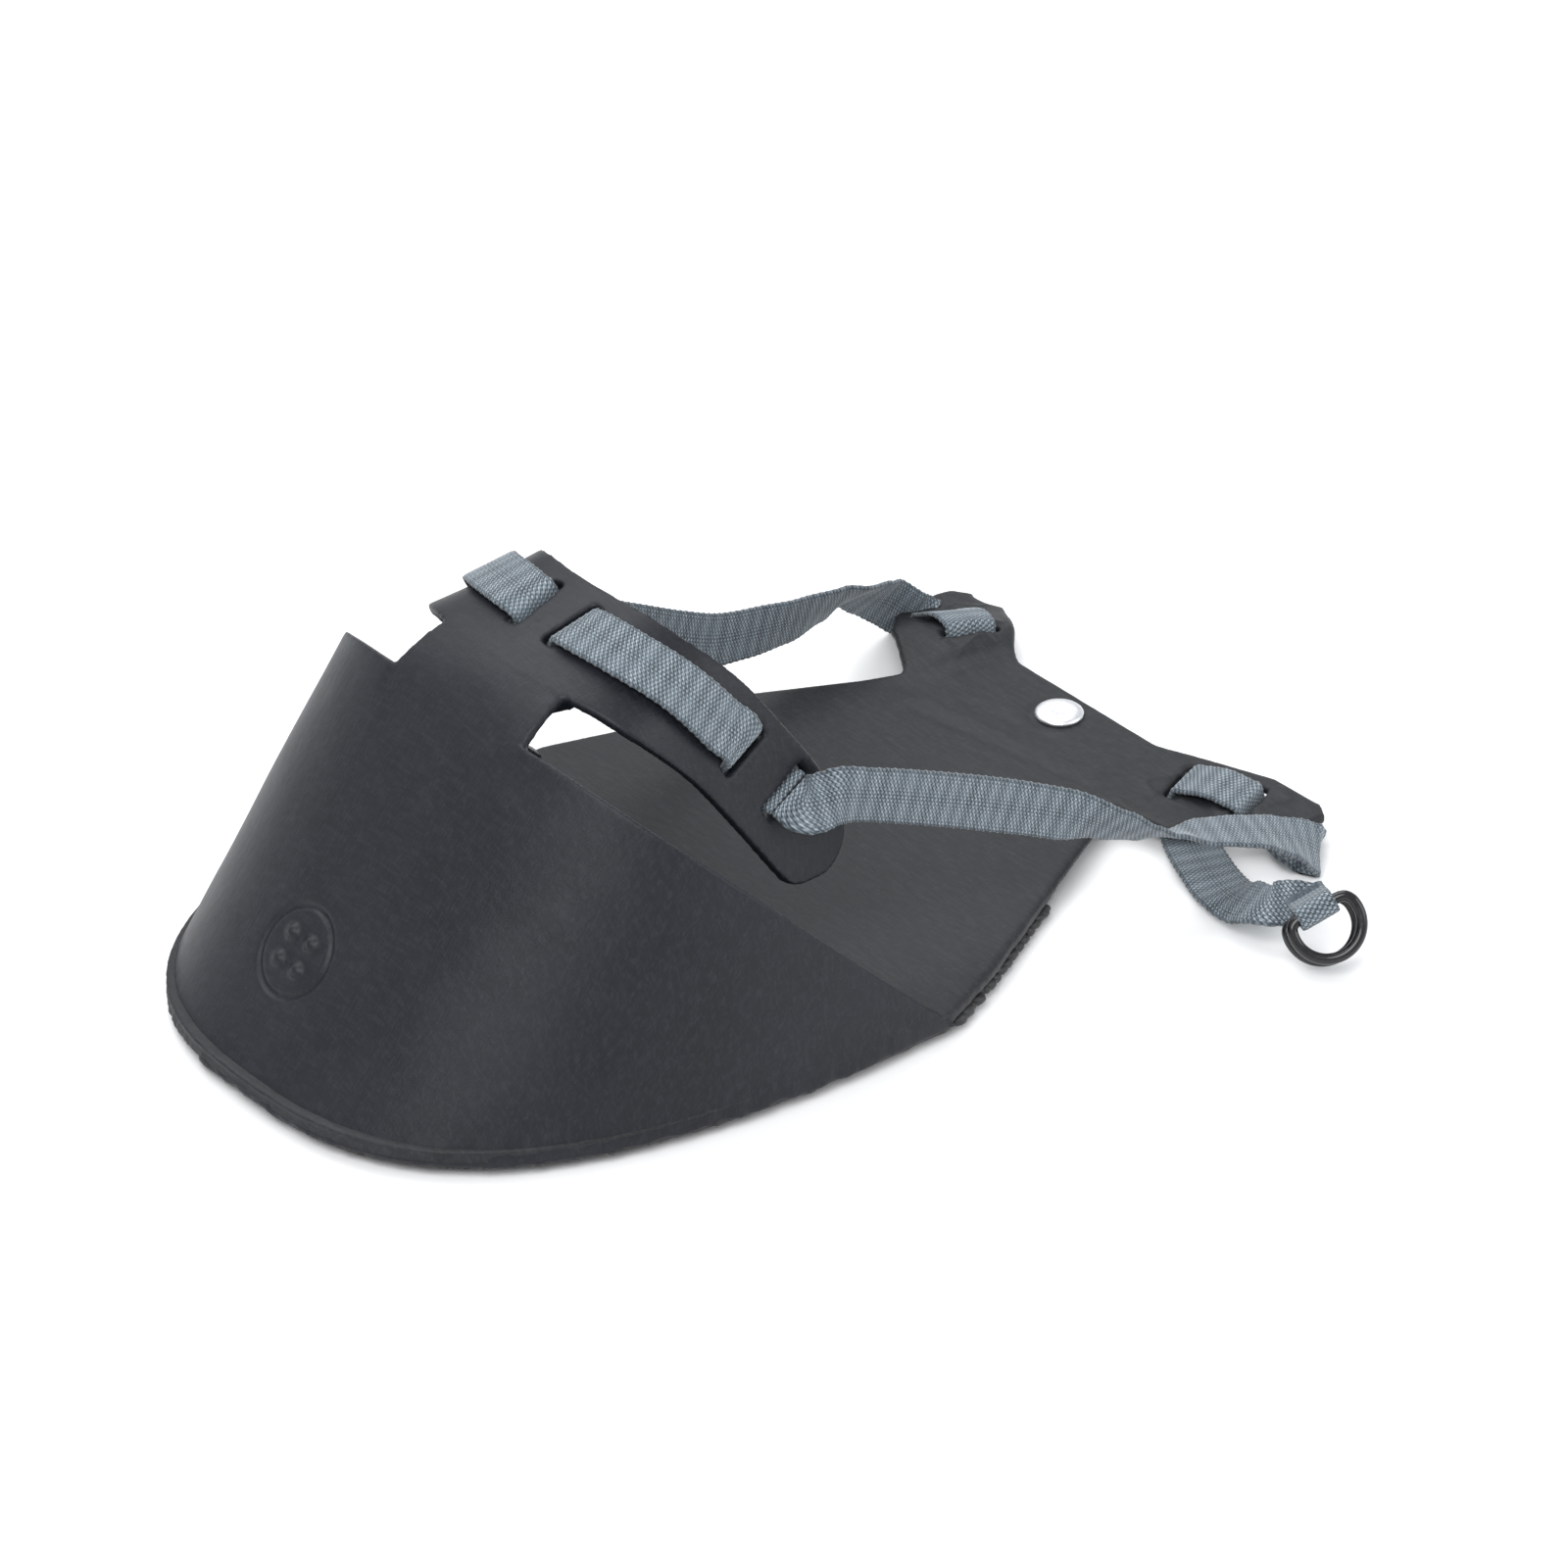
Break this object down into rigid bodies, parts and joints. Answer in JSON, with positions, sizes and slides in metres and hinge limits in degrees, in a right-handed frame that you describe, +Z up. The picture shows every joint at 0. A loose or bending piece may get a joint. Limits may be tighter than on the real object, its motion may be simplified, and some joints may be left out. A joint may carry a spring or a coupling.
{
  "type": "hoof boot",
  "caption": "Moulded rubber hoof boot lying open: deep toe wall with strap collar on a treaded sole, fold-up heel flap, threaded webbing strap and D-rings.",
  "frame": {"origin": "middle of the tread's ground face under the centre of the sole", "axes": "+X towards the heel flap, toe at -X, -Y the side with the D-rings, +Z up from the ground"},
  "size_m": [0.2485, 0.1923, 0.0918],
  "materials": {
    "moulded_rubber": "satin black moulded rubber with faint brushed mottling",
    "sole_rubber": "matt dark grey rubber",
    "tread_rubber": "matt black rubber",
    "webbing": "coarse blue-grey woven webbing",
    "bright_rivet": "bright nickel plate, lightly scratched",
    "black_wire": "glossy black coated wire",
    "stitching": "bonded polyester thread"
  },
  "bodies": {
    "boot_shell": {"toe_wall": "moulded_rubber", "sole_plate": "sole_rubber", "outsole_tread": "tread_rubber", "strap_collar": "webbing", "strap_near_span": "webbing", "strap_far_span": "webbing"},
    "heel_flap": {"heel_flap": "moulded_rubber", "rivet_cap": "bright_rivet", "rivet_post": "bright_rivet", "rivet_back_cap": "bright_rivet", "strap_keeper": "moulded_rubber", "strap_near_ear": "webbing", "strap_far_ear": "webbing", "strap_ring_tail": "webbing", "bar_tack": "stitching"},
    "ring_front": {"d_ring_front": "black_wire"},
    "ring_rear": {"d_ring_rear": "black_wire"}
  },
  "joints": [
    {"name": "heel_flap_fold", "type": "hinge", "parent": "boot_shell", "child": "heel_flap", "pos_m": [0.0952, 0, 0.007], "axis": [0, -1, 0], "range_deg": [0, 85], "deforming": ["strap_near_span", "strap_far_span"]},
    {"name": "ring_front_swing", "type": "hinge", "parent": "heel_flap", "child": "ring_front", "pos_m": [0.1263, -0.1042, 0.0144], "axis": [-0.8358, 0.3489, -0.4239], "range_deg": [0, 60]},
    {"name": "ring_rear_swing", "type": "hinge", "parent": "heel_flap", "child": "ring_rear", "pos_m": [0.12709, -0.10189, 0.01238], "axis": [-0.8358, 0.3489, -0.4239], "range_deg": [0, 24]}
  ],
  "couplings": [
    {"joint": "ring_rear_swing", "follows": "ring_front_swing", "ratio": 0.4}
  ]
}
